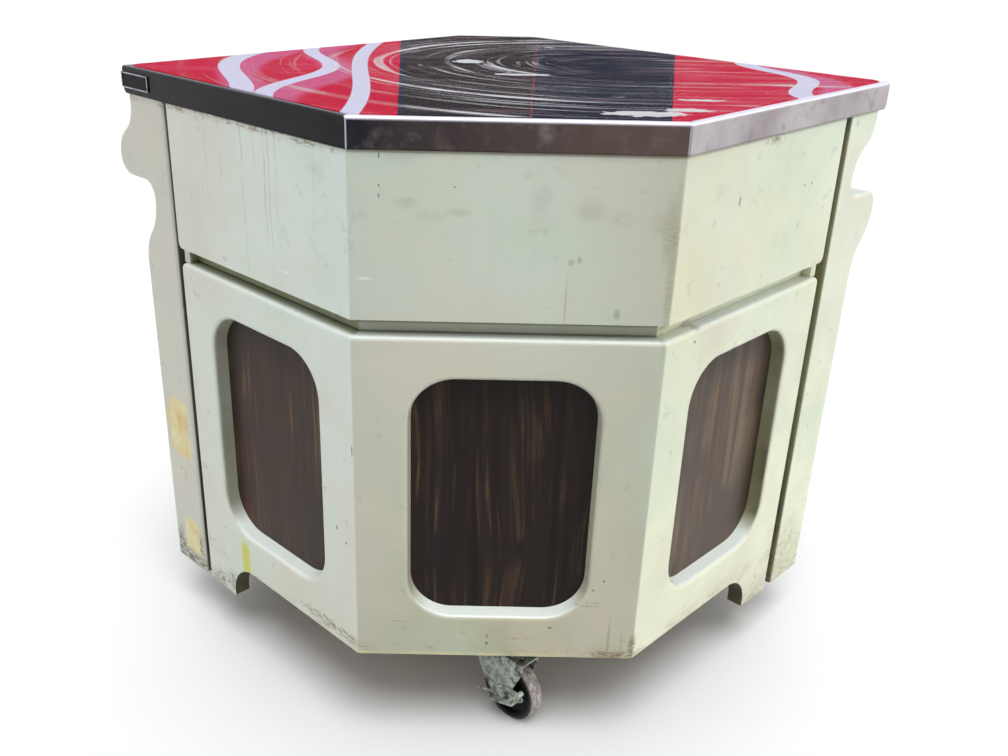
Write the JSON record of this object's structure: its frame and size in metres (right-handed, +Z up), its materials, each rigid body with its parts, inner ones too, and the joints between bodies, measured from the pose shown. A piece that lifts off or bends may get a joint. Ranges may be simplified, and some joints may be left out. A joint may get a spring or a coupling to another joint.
{
  "type": "mobile serving counter",
  "caption": "Free-standing corner serving counter on swivel casters: a steel top over a moulded body with recessed wood panels and interlocking hooked ends.",
  "frame": {"origin": "on the floor, under the middle of the counter's outline", "axes": "+Z up, -Y toward the front face, +X to the right end as seen from the front"},
  "size_m": [1.1457, 0.8366, 0.9152],
  "materials": {
    "steel_top": "satin",
    "top_board": "raw board",
    "printed_sheet": "printed",
    "clear_film": "clear, wrinkled",
    "badge_black": "gloss",
    "badge_chrome": "polished",
    "body_moulding": "satin, scuffed",
    "wood_laminate": "satin",
    "closing_panel": "painted satin",
    "frame_steel": "matt",
    "deck_board": "raw board",
    "zinc_fastener": "zinc plated",
    "spring_steel": "plain",
    "caster_zinc": "zinc plated, worn",
    "wheel_core": "matt",
    "wheel_tyre": "worn rubber"
  },
  "bodies": {
    "counter": {"top_pan": "steel_top", "top_core": "top_board", "graphic_sheet": "printed_sheet", "clear_film": "clear_film", "badge_plate": "badge_black", "badge_frame": "badge_chrome", "apron_shell": "body_moulding", "groove_rail": "body_moulding", "lower_shell": "body_moulding", "laminate_left": "wood_laminate", "laminate_front": "wood_laminate", "laminate_right": "wood_laminate", "panel_clips": "spring_steel", "left_end_moulding": "body_moulding", "right_end_moulding": "body_moulding", "left_end_panel": "closing_panel", "right_end_panel": "closing_panel", "rear_panel": "closing_panel", "end_panel_screws": "zinc_fastener", "rear_panel_screws": "zinc_fastener", "spine_rails": "frame_steel", "cross_rail_front": "frame_steel", "cross_rail_middle": "frame_steel", "cross_rail_rear": "frame_steel", "base_deck": "deck_board", "post_front_left": "frame_steel", "post_front_right": "frame_steel", "post_end_left": "frame_steel", "post_end_right": "frame_steel", "post_rear_left": "frame_steel", "post_rear_right": "frame_steel", "caster_pads": "frame_steel", "caster_bolts": "zinc_fastener", "front_caster_plate": "caster_zinc", "front_kingpin": "zinc_fastener", "left_caster_plate": "caster_zinc", "left_kingpin": "zinc_fastener", "right_caster_plate": "caster_zinc", "right_kingpin": "zinc_fastener", "rear_caster_plate": "caster_zinc", "rear_kingpin": "zinc_fastener"},
    "front_swivel": {"front_yoke": "caster_zinc", "front_axle_bolt": "zinc_fastener"},
    "front_wheel": {"front_wheel_core": "wheel_core", "front_wheel_tyre": "wheel_tyre"},
    "front_brake": {"front_brake_lever": "caster_zinc"},
    "left_swivel": {"left_yoke": "caster_zinc", "left_axle_bolt": "zinc_fastener"},
    "left_wheel": {"left_wheel_core": "wheel_core", "left_wheel_tyre": "wheel_tyre"},
    "right_swivel": {"right_yoke": "caster_zinc", "right_axle_bolt": "zinc_fastener"},
    "right_wheel": {"right_wheel_core": "wheel_core", "right_wheel_tyre": "wheel_tyre"},
    "rear_swivel": {"rear_yoke": "caster_zinc", "rear_axle_bolt": "zinc_fastener"},
    "rear_wheel": {"rear_wheel_core": "wheel_core", "rear_wheel_tyre": "wheel_tyre"},
    "rear_brake": {"rear_brake_lever": "caster_zinc"}
  },
  "joints": [
    {"name": "front_caster_swivel", "type": "hinge", "parent": "counter", "child": "front_swivel", "pos_m": [0.012, -0.33075, 0.115], "axis": [0, 0, 1], "continuous": true},
    {"name": "front_wheel_spin", "type": "hinge", "parent": "front_swivel", "child": "front_wheel", "pos_m": [0.0328, -0.35237, 0.0508], "axis": [-0.7206, -0.6934, 0], "continuous": true},
    {"name": "front_brake_pedal", "type": "hinge", "parent": "front_swivel", "child": "front_brake", "pos_m": [0.0328, -0.35237, 0.0508], "axis": [0.7206, 0.6934, 0], "range_deg": [0, 18]},
    {"name": "left_caster_swivel", "type": "hinge", "parent": "counter", "child": "left_swivel", "pos_m": [-0.3375, 0.02725, 0.115], "axis": [0, 0, 1], "continuous": true},
    {"name": "left_wheel_spin", "type": "hinge", "parent": "left_swivel", "child": "left_wheel", "pos_m": [-0.35158, 0.05373, 0.0508], "axis": [0.8829, 0.4695, 0], "continuous": true},
    {"name": "right_caster_swivel", "type": "hinge", "parent": "counter", "child": "right_swivel", "pos_m": [0.3375, 0.02725, 0.115], "axis": [0, 0, 1], "continuous": true},
    {"name": "right_wheel_spin", "type": "hinge", "parent": "right_swivel", "child": "right_wheel", "pos_m": [0.36569, 0.03751, 0.0508], "axis": [0.342, -0.9397, 0], "continuous": true},
    {"name": "rear_caster_swivel", "type": "hinge", "parent": "counter", "child": "rear_swivel", "pos_m": [0, 0.30175, 0.115], "axis": [0, 0, 1], "continuous": true},
    {"name": "rear_wheel_spin", "type": "hinge", "parent": "rear_swivel", "child": "rear_wheel", "pos_m": [-0.02649, 0.31583, 0.0508], "axis": [0.4695, 0.8829, 0], "continuous": true},
    {"name": "rear_brake_pedal", "type": "hinge", "parent": "rear_swivel", "child": "rear_brake", "pos_m": [-0.02649, 0.31583, 0.0508], "axis": [-0.4695, -0.8829, 0], "range_deg": [0, 18]}
  ]
}
